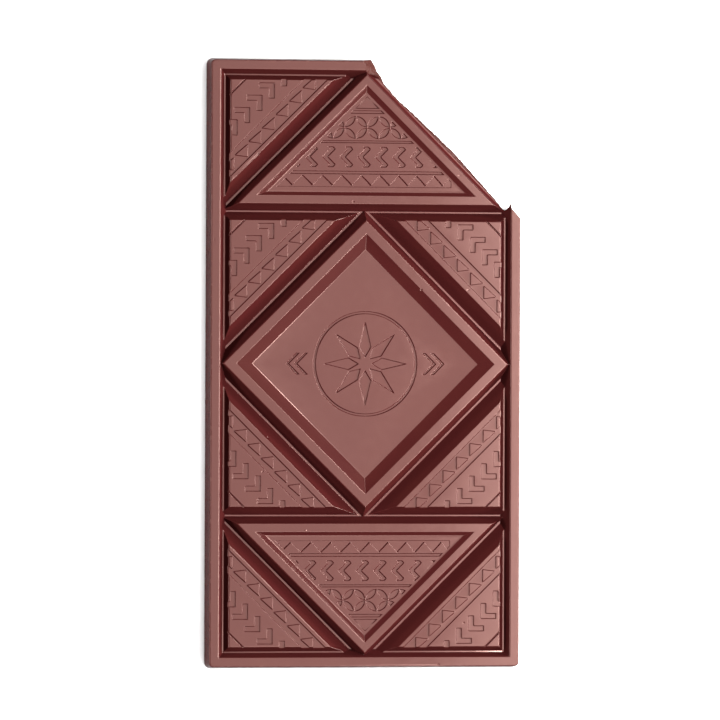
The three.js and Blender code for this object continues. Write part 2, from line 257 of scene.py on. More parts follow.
def rounded(points, radius, steps=3):
    """An anticlockwise outline with its corners rounded."""
    result = []
    for before, here, after in zip(points[-1:] + points[:-1], points, points[1:] + points[:1]):
        here = Vector(here)
        a, b = Vector(before) - here, Vector(after) - here
        half = a.angle(b) / 2
        back = min(radius / math.tan(half), 0.45 * min(a.length, b.length))
        start, end = here + a.normalized() * back, here + b.normalized() * back
        for i in range(steps + 1):
            f = i / steps
            result.append(tuple(start * (1 - f) ** 2 + here * 2 * f * (1 - f) + end * f**2))
    return result


def nearest_on_edges(starts, edges, x, y):
    """For each point and edge, where the nearest place on the edge is, from 0 to 1, and its distance."""
    px, py = x[:, None] - starts[:, 0], y[:, None] - starts[:, 1]
    along = np.clip((px * edges[:, 0] + py * edges[:, 1]) / (edges**2).sum(1), 0, 1)
    return along, np.hypot(px - along * edges[:, 0], py - along * edges[:, 1])


def distance_inside(points, x, y):
    """Signed distance from an outline, positive inside it."""
    a = np.array(points)
    b = np.roll(a, -1, axis=0)
    edge = b - a
    gap = nearest_on_edges(a, edge, x, y)[1].min(1)
    crosses = (a[:, 1] > y[:, None]) != (b[:, 1] > y[:, None])
    rise = np.where(edge[:, 1] == 0, 1, edge[:, 1])
    left_of = x[:, None] < a[:, 0] + (y[:, None] - a[:, 1]) * edge[:, 0] / rise
    inside = (crosses & left_of).sum(1) % 2 == 1
    return np.where(inside, gap, -gap)


# The pieces, as regions with sloping walls


def outside(side, x, y):
    return side.nx * x + side.ny * y - side.reach


def score_wall(nx, ny, line, lean):
    """The wall that rises from the floor of a score line, at the place where it meets the rim's level."""
    floor = DIAGONAL_FLOOR if nx and ny else SCORE_FLOOR
    return Side(nx, ny, line - floor / 2 - lean * SCORE_DEPTH, lean)


class Block:
    """A piece that stands between score lines. A wall may end early, on the floor of a shallower groove."""

    def __init__(self, sides, top=0.0, groove_sides=()):
        self.sides, self.top, self.groove_sides = sides, top, groove_sides

    def wall(self, i, x, y, radius):
        side = self.sides[i]
        t = outside(side, x, y) - side.lean * self.top
        return self.top + fillet(t, 1 / side.lean, radius)

    def depth(self, x, y):
        walls = []
        for i in range(len(self.sides)):
            wall = self.wall(i, x, y, EDGE_ROUND)
            if i in self.groove_sides:
                wall = smooth_min([wall, GROOVE_DEPTH], FOOT_BLEND)
            walls.append(wall - self.top)
        return self.top + smooth_max(walls, MITRE_BLEND)

    def sharp_depth(self, x, y):
        most = np.full_like(x, self.top)
        for i, side in enumerate(self.sides):
            wall = outside(side, x, y) / side.lean
            if i in self.groove_sides:
                wall = np.minimum(wall, GROOVE_DEPTH)
            most = np.maximum(most, wall)
        return most

    def face(self, offset=0.0):
        """The outline of the top face."""
        return outline(self.sides, [s.lean * self.top + offset for s in self.sides])

    def lines(self):
        steepest = max(1 / s.lean for s in self.sides)
        rings = []
        for depth in fillet_depths(steepest, EDGE_ROUND):
            offsets = [s.lean * self.top + fillet_reach(depth, 1 / s.lean, EDGE_ROUND) for s in self.sides]
            rings.append(outline(self.sides, offsets))
        rings.append(outline(self.sides, [s.lean * SCORE_DEPTH for s in self.sides]))
        found = lines_of_rings(rings)
        for i, side in enumerate(self.sides):
            depths = [GROOVE_DEPTH] if self.groove_sides else []
            if i not in self.groove_sides:
                depths.append(SCORE_DEPTH)
            for depth in depths:
                a, b = long_edge(self.sides, i, side.lean * depth)
                found += parallel_lines(a, b, [w * FOOT_BLEND * side.lean for w in FOOT_WIDTHS])
        return found


class Hollow:
    """A region that sinks inside its sides: the cavity inside the rim, or the hollow inside a frame."""

    def __init__(self, sides, radius, floor, blend):
        self.sides, self.radius, self.floor, self.blend = sides, radius, floor, blend

    def depth(self, x, y):
        walls = [fillet(-outside(s, x, y), 1 / s.lean, self.radius) for s in self.sides]
        depth = smooth_min(walls, MITRE_BLEND)
        return depth if self.floor is None else smooth_min([depth, self.floor], self.blend)

    def sharp_depth(self, x, y):
        walls = [np.maximum(-outside(s, x, y) / s.lean, 0) for s in self.sides]
        return np.minimum.reduce(walls)

    def lines(self, feet):
        steepest = max(1 / s.lean for s in self.sides)
        rings = []
        for depth in fillet_depths(steepest, self.radius):
            offsets = [-fillet_reach(depth, 1 / s.lean, self.radius) for s in self.sides]
            rings.append(outline(self.sides, offsets))
        for foot in feet:
            rings.append(outline(self.sides, [-s.lean * foot for s in self.sides]))
        found = lines_of_rings(rings)
        for foot in feet:
            for width in FOOT_WIDTHS:
                shift = [-s.lean * (foot + width * self.blend) for s in self.sides]
                found += closed(outline(self.sides, shift))
        return found


MITRE_WIDTHS = (-0.08, 0.0, 0.08)
FOOT_WIDTHS = (-1.0, -0.5, 0.0, 0.5, 1.0)
LINE_OVERRUN = 1.2


def parallel_lines(a, b, shifts):
    a, b = Vector(a), Vector(b)
    along = b - a
    if along.length < TINY:
        return []
    across = Vector((-along.y, along.x)) / along.length
    return [(tuple(a + across * s), tuple(b + across * s)) for s in shifts]


def lines_of_rings(rings):
    """The rings' own segments, and lines along the mitres that join their corners."""
    found = [segment for ring in rings for segment in closed(ring)]
    for ring, following in zip(rings, rings[1:]):
        for a, b in zip(ring, following):
            found += parallel_lines(a, b, MITRE_WIDTHS)
    return found


def long_edge(sides, i, offset):
    """A side's edge at an offset, run on at both ends."""
    corners = outline(sides, [offset] * len(sides))
    a, b = Vector(corners[i - 1]), Vector(corners[i])
    over = (b - a).normalized() * LINE_OVERRUN
    return tuple(a - over), tuple(b + over)


RIM_INNER_X = WIDTH / 2 - OUTER_DRAFT - RIM_WIDTH
RIM_INNER_Y = LENGTH / 2 - OUTER_DRAFT - RIM_WIDTH
GROOVE_LINE_X = RIM_INNER_X - RIM_LEAN * GROOVE_DEPTH - SCORE_FLOOR / 2
GROOVE_LINE_Y = RIM_INNER_Y - RIM_LEAN * GROOVE_DEPTH - SCORE_FLOOR / 2


def rim_hollow():
    sides = [
        Side(1, 0, RIM_INNER_X, RIM_LEAN),
        Side(0, 1, RIM_INNER_Y, RIM_LEAN),
        Side(-1, 0, RIM_INNER_X, RIM_LEAN),
        Side(0, -1, RIM_INNER_Y, RIM_LEAN),
    ]
    return Hollow(sides, EDGE_ROUND, None, FOOT_BLEND)


def diamond_block():
    signs = [(1, 1), (-1, 1), (-1, -1), (1, -1)]
    walls = [score_wall(sx * SLANT, sy * SLANT, DIAMOND_LINE * SLANT, DIAMOND_LEAN) for sx, sy in signs]
    return Block(walls)


def triangle_block(end):
    right, left = (
        score_wall(sx * SLANT, end * SLANT, TRIANGLE_LINE * SLANT, TRIANGLE_LEAN) for sx in (1, -1)
    )
    base = score_wall(0, -end, -ROW_LINE, TRIANGLE_BASE_LEAN)
    return Block([right, left, base] if end > 0 else [left, right, base])


def hollow_in(block, frames, leans, depth, blend):
    sides = [
        Side(s.nx, s.ny, s.reach - width, lean) for s, width, lean in zip(block.sides, frames, leans)
    ]
    return Hollow(sides, RECESS_ROUND, depth, blend)


# side of the bar, end of the bar that the right angle points to, in the outer row or not
SMALL_CORNERS = [(-1, 1, True), (1, -1, True), (-1, -1, True)] + [
    (sx, sy, False) for sx, sy in ((-1, 1), (1, 1), (-1, -1), (1, -1))
]


def rim_leg(nx, ny, line):
    return Side(nx, ny, line - SCORE_FLOOR / 2 - SMALL_RIM_LEAN * GROOVE_DEPTH, SMALL_RIM_LEAN)


def small_block(sx, sy, outer):
    side_leg = rim_leg(sx, 0, GROOVE_LINE_X)
    end_leg = rim_leg(0, sy, GROOVE_LINE_Y) if outer else score_wall(0, sy, ROW_LINE, SMALL_LEG_LEAN)
    line = TRIANGLE_LINE if outer else DIAMOND_LINE
    bevel = score_wall(-sx * SLANT, -sy * SLANT, -line * SLANT, SMALL_BEVEL_LEAN)
    sides = [side_leg, end_leg, bevel] if sx * sy > 0 else [end_leg, side_leg, bevel]
    groove_sides = [i for i, s in enumerate(sides) if s.lean == SMALL_RIM_LEAN]
    return Block(sides, SMALL_DROP, groove_sides)


# The pattern: outlines that are pressed in, and outlines that are left standing inside one of them


class Pattern:
    """Outlines pressed into a face, with some islands left standing.

    It ends at a margin outside a convex field's sides, or inside them where the margin is negative.
    """

    def __init__(self, sunk, islands, field, margin, relief=RELIEF):
        self.sunk = [anticlockwise(points) for points in sunk]
        self.islands = [anticlockwise(points) for points in islands]
        self.field, self.margin, self.relief = field, margin, relief
        self.far_box = box_round([p for points in self.sunk for p in points])

    def distance(self, x, y):
        """Signed distance from the edge of what is pressed in, positive inside it."""
        inside = np.full_like(x, -1.0)
        for points, sign in [(p, 1) for p in self.sunk] + [(p, -1) for p in self.islands]:
            near = within(box_round(points), x, y)
            gap = distance_inside(points, x[near], y[near])
            inside[near] = np.maximum(inside[near], gap) if sign > 0 else np.minimum(inside[near], -gap)
        for side in self.field:
            inside = np.minimum(inside, self.margin - outside(side, x, y))
        return inside

    def depth(self, x, y):
        sunk = np.zeros_like(x)
        near = within(self.far_box, x, y)
        wall = fillet(self.distance(x[near], y[near]), RELIEF / RELIEF_RUN, RELIEF_ROUND)
        sunk[near] = smooth_min([wall, self.relief], RELIEF_BLEND)
        return sunk

    def lines(self):
        slope = RELIEF / RELIEF_RUN
        angle = math.atan(slope)
        start = -RELIEF_ROUND * math.tan(angle / 2)
        arc = [start + RELIEF_ROUND * math.sin(angle * f) for f in (0, 0.33, 0.66, 1)]
        foot = [(self.relief + RELIEF_BLEND * f) / slope for f in (-1, 0, 1)]
        found = []
        for level in arc + foot:
            rings = [shrunk(points, level) for points in self.sunk]
            rings += [shrunk(points, -level) for points in self.islands]
            for ring in rings:
                for segment in closed(ring):
                    part = clipped(segment, self.field, self.margin - start)
                    if part:
                        found.append(part)
            if self.margin < 0:
                border = outline(self.field, [self.margin - level] * len(self.field))
                found += closed(border)
        return found


def box_round(points, margin=0.5):
    xs, ys = zip(*points)
    return min(xs) - margin, max(xs) + margin, min(ys) - margin, max(ys) + margin


def within(box, x, y):
    return (x > box[0]) & (x < box[1]) & (y > box[2]) & (y < box[3])


def slanting_strip(inner, outer):
    return [(inner + 1, -1), (outer + 1, -1), (-1, outer + 1), (-1, inner + 1)]


def chevron(k):
    p, q = CHEVRON["p"] - k * CHEVRON["pitch"], CHEVRON["q"] + k * CHEVRON["pitch"]
    arm, width = CHEVRON["arm"], CHEVRON["width"]
    inner = [(p - width, q + arm), (p - width, q + width), (p - arm, q + width)]
    return [(p, q), (p, q + arm)] + inner + [(p - arm, q)]


def band_tooth(k):
    p, q = BAND_TOOTH["p"] - k * BAND_TOOTH["pitch"], BAND_TOOTH["q"] + k * BAND_TOOTH["pitch"]
    return [(p, q), (p - BAND_TOOTH["leg"], q - BAND_TOOTH["tilt"]), (p, q - BAND_TOOTH["leg"])]


def small_pattern(block, sx, sy):
    corner = block.face()[0]

    def place(points):
        return [(corner[0] - sx * p, corner[1] - sy * q) for p, q in points]

    half = CORNER_GROOVE["width"] * SLANT
    groove = slanting_strip(CORNER_GROOVE["at"] - half, CORNER_GROOVE["at"] + half)
    band = slanting_strip(TOOTH_BAND["inner"], TOOTH_BAND["outer"])
    chevrons = [rounded(anticlockwise(chevron(k)), PLAN_ROUND) for k in CHEVRON["range"]]
    teeth = [rounded(anticlockwise(band_tooth(k)), TOOTH_ROUND) for k in BAND_TOOTH["range"]]
    top = [Side(s.nx, s.ny, s.reach + s.lean * SMALL_DROP, s.lean) for s in block.sides]
    sunk = [place(points) for points in [groove, band] + chevrons]
    return Pattern(sunk, [place(points) for points in teeth], top, SMALL_OVERRUN)


def petal(x, y, sx, sy):
    """The lens between a circle and an equal one that is moved diagonally by one radius."""
    radius, size, steps = RING["radius"], RING["petal_size"], RING["steps"]
    angles = [math.pi / 2 * i / steps for i in range(steps + 1)]
    lens = [(math.cos(a), math.sin(a)) for a in angles]
    lens += [(1 - math.sin(a), 1 - math.cos(a)) for a in angles[-2:0:-1]]
    lens = [(radius * (0.5 + size * (u - 0.5)), radius * (0.5 + size * (v - 0.5))) for u, v in lens]
    return [(x + sx * u, y + sy * v) for u, v in lens]


def rings():
    found = []
    for k in RING["range"]:
        for sx, sy in ((1, 1), (-1, 1), (-1, -1), (1, -1)):
            found.append(petal((2 * k + 1) * RING["radius"], RING["y"], sx, sy))
    return found


def zigzag(k):
    reach, hook, width = ZIGZAG["reach"], ZIGZAG["hook"], ZIGZAG["width"]
    right = [(-hook, reach + hook), (0, reach), (-reach, 0), (0, -reach), (-hook, -reach - hook)]
    x = ZIGZAG["x"] + k * ZIGZAG["pitch"]
    right = [(x + px, ZIGZAG["y"] + py) for px, py in right]
    left = [(px - width, py) for px, py in reversed(right)]
    return rounded(anticlockwise(right + left), PLAN_ROUND)


def tooth_x(k):
    return SAW["x"] + SAW["pitch"] * k - SAW["closing"] * k * k


def saw():
    first, last = SAW["range"][0], SAW["range"][-1]
    points = [(tooth_x(last), SAW["foot"]), (tooth_x(last), SAW["apex"])]
    for k in reversed(SAW["range"][:-1]):
        points.append(((tooth_x(k) + tooth_x(k + 1)) / 2, SAW["base"]))
        points.append((tooth_x(k), SAW["apex"]))
    start = (tooth_x(first - 1) + tooth_x(first)) / 2
    return points + [(start, SAW["base"]), (start, SAW["foot"])]


def saw_stroke(k):
    """The narrow cut along the right edge of a tooth."""
    top = Vector((tooth_x(k), SAW["apex"]))
    foot = Vector(((tooth_x(k) + tooth_x(k + 1)) / 2, SAW["base"]))
    along = (foot - top).normalized()
    across = Vector((-along.y, along.x)) * SAW["stroke"] / 2
    return [tuple(p) for p in (top - across, foot - across, foot + across, top + across)]


def triangle_patterns(hollow, end):
    tip_half, tip_base = TIP["half_width"], TIP["base"]
    tip = [(-tip_half, tip_base), (tip_half, tip_base), (0, tip_base + tip_half)]
    strips = [[(-WIDTH, y0), (WIDTH, y0), (WIDTH, y1), (-WIDTH, y1)] for y0, y1 in STRIPS]
    motifs = [tip] + strips + rings() + [zigzag(k) for k in ZIGZAG["range"]]
    motifs += [saw_stroke(k) for k in SAW["range"]]

    def place(points):
        return [(x + PATTERN_SHIFT, end * y) for x, y in points]

    field = [
        Side(s.nx, s.ny, s.reach - s.lean * TRIANGLE_RECESS + s.nx * PATTERN_SHIFT, s.lean)
        for s in hollow.sides
    ]
    teeth = Pattern([place(saw())], [], field, -MARGIN, SAW["relief"])
    return [Pattern([place(points) for points in motifs], [], field, -MARGIN), teeth]


def polar(radius, angle):
    return radius * math.cos(angle), radius * math.sin(angle)


def star_kite(k):
    middle = 2 * math.pi * k / STAR["points"]
    half = math.pi / STAR["points"] - STAR["gap"] / STAR["waist"] / 2
    corners = [(STAR["hub"], 0), (STAR["waist"], -half), (STAR["tip"], 0), (STAR["waist"], half)]
    return rounded([polar(radius, middle + turn) for radius, turn in corners], STAR_ROUND)


def circle(radius):
    steps = STAR_RING["steps"]
    return [polar(radius, 2 * math.pi * i / steps) for i in range(steps)]


def side_chevrons():
    arm, width = SIDE_CHEVRON["arm"], SIDE_CHEVRON["width"]
    found = []
    for sx in (1, -1):
        for k in range(SIDE_CHEVRON["count"]):
            point = SIDE_CHEVRON["x"] + k * SIDE_CHEVRON["pitch"]
            points = [(point - width, -arm), (point, -arm), (point + arm, 0), (point, arm)]
            points += [(point - width, arm), (point + arm - width, 0)]
            found.append(rounded(anticlockwise([(sx * x, y) for x, y in points]), STAR_ROUND))
    return found


def diamond_patterns(hollow):
    star = [star_kite(k) for k in range(STAR["points"])] + side_chevrons()
    ring = Pattern([circle(STAR_RING["outer"])], [circle(STAR_RING["inner"])], hollow.sides, 0.0)
    return [Pattern(star, [], hollow.sides, 0.0), ring]


# The whole patterned face


class Piece:
    """A block with the hollow in it, if it has one, and the patterns pressed into its face."""

    def __init__(self, block, hollow=None, patterns=()):
        self.block, self.hollow, self.patterns = block, hollow, patterns

    def depth(self, x, y):
        depth = self.block.depth(x, y) - self.block.top
        pressed = sum((pattern.depth(x, y) for pattern in self.patterns), np.zeros_like(x))
        if self.hollow:
            return depth + self.hollow.depth(x, y) + pressed
        return self.block.top + smooth_max([depth, pressed], MITRE_BLEND)

    def lines(self):
        found = self.block.lines()
        if self.hollow:
            found += self.hollow.lines([self.hollow.floor])
        for pattern in self.patterns:
            found += pattern.lines()
        return found


def all_pieces():
    block = diamond_block()
    frames, leans = [DIAMOND_FRAME] * 4, [DIAMOND_RECESS_LEAN] * 4
    hollow = hollow_in(block, frames, leans, DIAMOND_RECESS, DIAMOND_RECESS_BLEND)
    pieces = [Piece(block, hollow, diamond_patterns(hollow))]
    for end in (1, -1):
        block = triangle_block(end)
        frames = [TRIANGLE_FRAME, TRIANGLE_FRAME, TRIANGLE_BASE_FRAME]
        leans = [TRIANGLE_RECESS_LEAN, TRIANGLE_RECESS_LEAN, TRIANGLE_BASE_RECESS_LEAN]
        hollow = hollow_in(block, frames, leans, TRIANGLE_RECESS, TRIANGLE_RECESS_BLEND)
        pieces.append(Piece(block, hollow, triangle_patterns(hollow, end)))
    for sx, sy, outer in SMALL_CORNERS:
        block = small_block(sx, sy, outer)
        pieces.append(Piece(block, None, [small_pattern(block, sx, sy)]))
    pieces.append(Piece(small_block(1, 1, True)))  # snapped off, all but the foot of its wall
    return pieces


RIM = rim_hollow()
PIECES = all_pieces()


def dents(x, y):
    sunk = np.zeros_like(x)
    for dent in DENTS:
        cos, sin = math.cos(dent.turn), math.sin(dent.turn)
        along = (x - dent.x) * cos + (y - dent.y) * sin
        across = (y - dent.y) * cos - (x - dent.x) * sin
        away = ((along / dent.length) ** 2 + (across / dent.width) ** 2) / DENT_REACH**2
        sunk += dent.depth * np.clip(1 - away, 0, None) ** 3
    return sunk


def face_depth(x, y):
    depth = smooth_min([RIM.depth(x, y), SCORE_DEPTH] + [p.depth(x, y) for p in PIECES], FOOT_BLEND)
    return depth + dents(x, y)


def face_height(x, y):
    return THICKNESS - face_depth(x, y)


def face_normals(x, y, step=0.004):
    across = (face_height(x + step, y) - face_height(x - step, y)) / (2 * step)
    along = (face_height(x, y + step) - face_height(x, y - step)) / (2 * step)
    normals = np.stack([-across, -along, np.ones_like(x)], 1)
    return normals / np.linalg.norm(normals, axis=1, keepdims=True)


# Creases where the walls of two different pieces, or of a piece and the rim, meet

CREASE_STEP = 0.1
CREASE_SPAN = 90
CREASE_TOP = 0.05  # creases are followed from this far below the rim's level
CREASE_BOTTOM = 0.02  # and down to this far above the floor of the score lines
JUNCTION_RADIUS = 0.55
JUNCTION_STEP = 0.11


def wall_planes():
    """Each wall as (owner, slope across, slope along, depth at the origin)."""
    planes = [(RIM, -s.nx / s.lean, -s.ny / s.lean, s.reach / s.lean) for s in RIM.sides]
    for piece in PIECES:
        for s in piece.block.sides:
            planes.append((piece.block, s.nx / s.lean, s.ny / s.lean, -s.reach / s.lean))
    return planes


def runs(mask):
    """First and last index of each stretch of true values."""
    edges = np.flatnonzero(np.diff(np.concatenate([[0], mask.astype(int), [0]])))
    return zip(edges[::2], edges[1::2] - 1)


def creases():
    lines, ends = [], []
    planes = wall_planes()
    t = np.arange(-CREASE_SPAN, CREASE_SPAN, CREASE_STEP)
    for i, (owner, gx, gy, c) in enumerate(planes):
        for other, hx, hy, d in planes[i + 1:]:
            dx, dy = gx - hx, gy - hy
            steep = math.hypot(dx, dy)
            if other is owner or steep < TINY:
                continue
            away = (d - c) / steep
            x = away * dx / steep - t * dy / steep
            y = away * dy / steep + t * dx / steep
            depth = gx * x + gy * y + c
            seen = (depth > CREASE_TOP) & (depth < SCORE_DEPTH - CREASE_BOTTOM)
            if not seen.any():
                continue
            for one in (owner, other):
                seen &= np.abs(one.sharp_depth(x, y) - depth) < TINY
            for piece in [RIM] + [p.block for p in PIECES]:
                if seen.any():
                    seen &= piece.sharp_depth(x, y) > depth - TINY
            for first, last in runs(seen):
                a, b = (x[first], y[first]), (x[last], y[last])
                ends += [a, b]
                if last > first:
                    lines += parallel_lines(a, b, [w * FOOT_BLEND / steep for w in FOOT_WIDTHS])
    return lines, ends


def junction_points(ends):
    """A fine net of points round places, as where creases end and several surfaces melt together."""
    points = []
    taken = set()
    for cx, cy in ends:
        key = (round(cx * 4), round(cy * 4))
        if key in taken:
            continue
        taken.add(key)
        reach = int(JUNCTION_RADIUS / JUNCTION_STEP)
        for i in range(-reach, reach + 1):
            for j in range(-reach, reach + 1):
                if i * i + j * j <= reach * reach:
                    points.append((cx + (i + 0.5 * (j % 2)) * JUNCTION_STEP, cy + j * JUNCTION_STEP))
    return points


# The bar's edge, seen from above: a closed path of columns. Each column runs down the side to the back.
# spread is the share of the moulded side's own outline that a column keeps, and lean is how far its foot
# stands out from its head on top of that. rough is its share of the broken face's lumps, normal is the way
# that a moulded column faces, and broken is 1 where the face beside it is broken.

Column = namedtuple("Column", "x y outward_x outward_y spread lean_x lean_y rough normal_x normal_y broken")
OUTER_SLOPE = THICKNESS / OUTER_DRAFT
OUTER_START = OUTER_ROUND * math.tan(math.atan(OUTER_SLOPE) / 2)
FACE_X = WIDTH / 2 - OUTER_DRAFT - OUTER_START
FACE_Y = LENGTH / 2 - OUTER_DRAFT - OUTER_START
FACE_CORNER = CORNER_RADIUS - OUTER_START
CORNER_STEPS = 8

# The break, from the side rim to the end rim: places of its upper edge, each with the lean of the face there
SIDE_START = (FACE_X, 35.4)
SIDE_BREAK = [
    ((36.37, 36.15), (0.1, 0.1)),
    ((35.63, 36.98), (0.1, 0.1)),
    ((35.3, 37.3), (0.1, 0.1)),
    ((34.97, 38.6), (0.6, -1.0)),
    ((34.65, 37.7), (0.5, -0.5)),
    ((34.35, 37.2), (0.3, -0.1)),
    ((34.05, 37.0), (0.1, 0.1)),
    ((33.7, 37.25), (0.1, 0.1)),
]
# Places along the score line, as their x, and how far beyond the line's middle the break's foot is there
RUN_BREAK = [
    (33.0, 0.21), (32.2, 0.33), (31.0, 0.41), (30.0, 0.47), (28.5, 0.63), (27.0, 0.73), (25.5, 0.85),
    (24.0, 0.91), (22.5, 1.05), (21.0, 1.13), (19.5, 1.03), (18.0, 1.01), (16.5, 0.93), (15.0, 0.75),
    (13.5, 0.77), (12.0, 0.69), (10.5, 0.61), (9.0, 0.35), (7.5, 0.37), (6.0, 0.55), (4.6, 0.61),
]
RUN_HEAD = 0.0  # its upper edge is no further from the middle of the line than this
RUN_LEAN = 0.5  # and at least this far inside its foot
END_BREAK = [
    ((3.2, 68.8), (1.1, -0.2)),
    ((1.8, 69.1), (2.3, 0.0)),
    ((0.4, 69.4), (3.4, 0.1)),
    ((-0.2, 70.0), (3.4, 0.1)),
    ((-0.4, 71.0), (3.0, 0.1)),
]
END_START = (-0.95, FACE_Y)
END_LEAN = 2.8
BREAK_STEP = 0.14
BREAK_JITTER = 0.07
JITTER_WAVES = ((0.9, 3.1, 1.0), (4.1, 9.7, 0.6))  # waves per mm, row of the noise, and weight
JITTER_FADE = 0.4  # the jitter and the roughness fade out over these distances at the break's ends
ROUGH_FADE = 0.5
SPREAD_FADE = 2.4
WALL_ROWS = 22
GRAIN = ((1.3, 0.11), (4.0, 0.05))  # size of the broken face's lumps, as waves per mm, and their height
GRAIN_TOP = 0.15  # the lumps grow over this depth below the upper edge
GRAIN_FOOT = 0.3  # and keep level over this height above the back
GRAIN_SEED = 1  # without a seed, noise_vector follows the clock


def moulded(x, y, nx, ny):
    return Column(x, y, nx, ny, 1.0, 0.0, 0.0, 0.0, nx, ny, 0)


def rounded_corner(sx, sy):
    columns = []
    start = math.atan2(sy, sx) - math.pi / 4
    for i in range(CORNER_STEPS + 1):
        angle = start + math.pi / 2 * i / CORNER_STEPS
        nx, ny = math.cos(angle), math.sin(angle)
        cx, cy = sx * (FACE_X - FACE_CORNER), sy * (FACE_Y - FACE_CORNER)
        columns.append(moulded(cx + FACE_CORNER * nx, cy + FACE_CORNER * ny, nx, ny))
    return columns


def break_guide():
    """Points of the break's upper edge with the lean of the broken face at each."""
    guide = [(SIDE_START, (0.0, 0.0))] + SIDE_BREAK
    for x, foot in RUN_BREAK:
        head = min(foot - RUN_LEAN, RUN_HEAD)
        lean = (foot - head) * SLANT
        guide.append(((x + head * SLANT, TRIANGLE_LINE - x + head * SLANT), (lean, lean)))
    return guide + END_BREAK + [(END_START, (END_LEAN, 0.0))]


def broken_columns():
    guide = break_guide()
    columns = []
    total = sum(math.dist(a[0], b[0]) for a, b in zip(guide, guide[1:]))
    gone = 0.0
    for (a, lean_a), (b, lean_b) in zip(guide, guide[1:]):
        length = math.dist(a, b)
        count = max(1, round(length / BREAK_STEP))
        along = Vector(b) - Vector(a)
        across = Vector((along.y, -along.x)).normalized()
        for i in range(count):
            f = i / count
            s = gone + length * f
            to_end = min(s, total - s)
            jitter = sum(w * noise.noise(Vector((s * waves, row, 0))) for waves, row, w in JITTER_WAVES)
            jitter *= BREAK_JITTER * min(1, to_end / JITTER_FADE)
            place = Vector(a) + along * f + across * jitter
            spread = max(0, 1 - to_end / SPREAD_FADE)
            outward = (1.0, -1.0) if s < total / 2 else (0.0, 1.0)
            lean = Vector(lean_a).lerp(Vector(lean_b), f)
            columns.append(Column(*place, *outward, spread, *lean, min(1, to_end / ROUGH_FADE), 0.0, 0.0, 1))
        gone += length
    return columns


def edge_path():
    """The columns round the bar, anticlockwise, as rows of numbers. The last leads back to the first."""
    columns = broken_columns()
    columns[0] = columns[0]._replace(normal_x=1.0, broken=0)
    columns.append(Column(*END_START, 0.0, 1.0, 1.0, END_LEAN, 0.0, 0.0, 0.0, 1.0, 0))
    columns.append(moulded(END_START[0] - END_LEAN, FACE_Y, 0, 1))
    for sx, sy in ((-1, 1), (-1, -1), (1, -1)):
        columns += rounded_corner(sx, sy)
    columns.append(moulded(FACE_X, SIDE_START[1] - END_LEAN, 1, 0))
    return np.array(columns, dtype=float)


def on_path(path, x, y):
    """Columns at points of the path, made from their two neighbours."""
    after = np.roll(path, -1, axis=0)
    along, gap = nearest_on_edges(path[:, :2], after[:, :2] - path[:, :2], x, y)
    nearest = gap.argmin(1)
    f = along[np.arange(len(x)), nearest][:, None]
    return path[nearest] * (1 - f) + after[nearest] * f


def side_profile():
    """Rows down the moulded side: distance outwards, height, and the angle of its normal above level."""
    draft = math.atan(OUTER_DRAFT / THICKNESS)
    top = [(math.pi / 2 - draft) * i / ARC_STEPS for i in range(ARC_STEPS + 1)]
    rows = [
        (OUTER_ROUND * math.sin(turn), THICKNESS - OUTER_ROUND * (1 - math.cos(turn)), math.pi / 2 - turn)
        for turn in top
    ]
    back_turn = math.pi / 2 + draft
    middle = OUTER_START + OUTER_DRAFT - BASE_ROUND * math.tan(back_turn / 2)
    base = []
    for i in range(ARC_STEPS + 1):
        angle = draft - back_turn * i / ARC_STEPS
        base.append((middle + BASE_ROUND * math.cos(angle), BASE_ROUND * (1 + math.sin(angle)), angle))
    for i in range(1, WALL_ROWS):
        f = i / WALL_ROWS
        rows.append(tuple(a + (b - a) * f for a, b in zip(rows[ARC_STEPS], base[0])))
    return np.array(rows + base)


def grain(points):
    """Lumps of a broken face, as shifts of its points."""
    noise.seed_set(GRAIN_SEED)
    shift = np.zeros_like(points)
    for waves, height in GRAIN:
        for i, p in enumerate(points):
            shift[i] += height * np.array(noise.noise_vector(Vector(p) * waves))
    return shift


# The mesh

TESTED_AT_ONCE = 4000
NET_TOLERANCE = 1e-3
BACK_TOLERANCE = 1e-7
BROKEN_SLOT = 1
SIDE_SLOT = 2


def within_outline(triangles, corners, points):
    """The triangles that lie inside an outline."""
    middles = corners[triangles].mean(1)
    inside = np.zeros(len(triangles), dtype=bool)
    for start in range(0, len(triangles), TESTED_AT_ONCE):
        part = slice(start, start + TESTED_AT_ONCE)
        inside[part] = distance_inside(points, middles[part, 0], middles[part, 1]) > 0
    return triangles[inside]


def net_of_triangles(path):
    """Triangles over the patterned face that follow every edge of it, and their corners."""
    lines = RIM.lines([GROOVE_DEPTH, SCORE_DEPTH])
    for piece in PIECES:
        lines += piece.lines()
    crease_lines, ends = creases()
    lines += crease_lines
    points = [p for line in lines for p in line]
    edges = [(2 * i, 2 * i + 1) for i in range(len(lines))]
    first = len(points)
    points += [tuple(p) for p in path[:, :2]]
    edges += [(first + i, first + (i + 1) % len(path)) for i in range(len(path))]
    points += junction_points(ends + [(dent.x, dent.y) for dent in DENTS])
    net = delaunay_2d_cdt([Vector(p) for p in points], edges, [], 0, NET_TOLERANCE, False)
    corners, triangles = np.array([tuple(p) for p in net[0]]), np.array(net[2])
    triangles = within_outline(triangles, corners, path[:, :2])
    used, triangles = np.unique(triangles, return_inverse=True)
    return corners[used], triangles.reshape(-1, 3)


def rim_of(triangles):
    """The corners round a net of triangles, anticlockwise."""
    edges = {(int(a), int(b)) for t in triangles for a, b in ((t[0], t[1]), (t[1], t[2]), (t[2], t[0]))}
    leads_to = {a: b for a, b in edges if (b, a) not in edges}
    loop = [next(iter(leads_to))]
    while leads_to[loop[-1]] != loop[0]:
        loop.append(leads_to[loop[-1]])
    return np.array(loop)


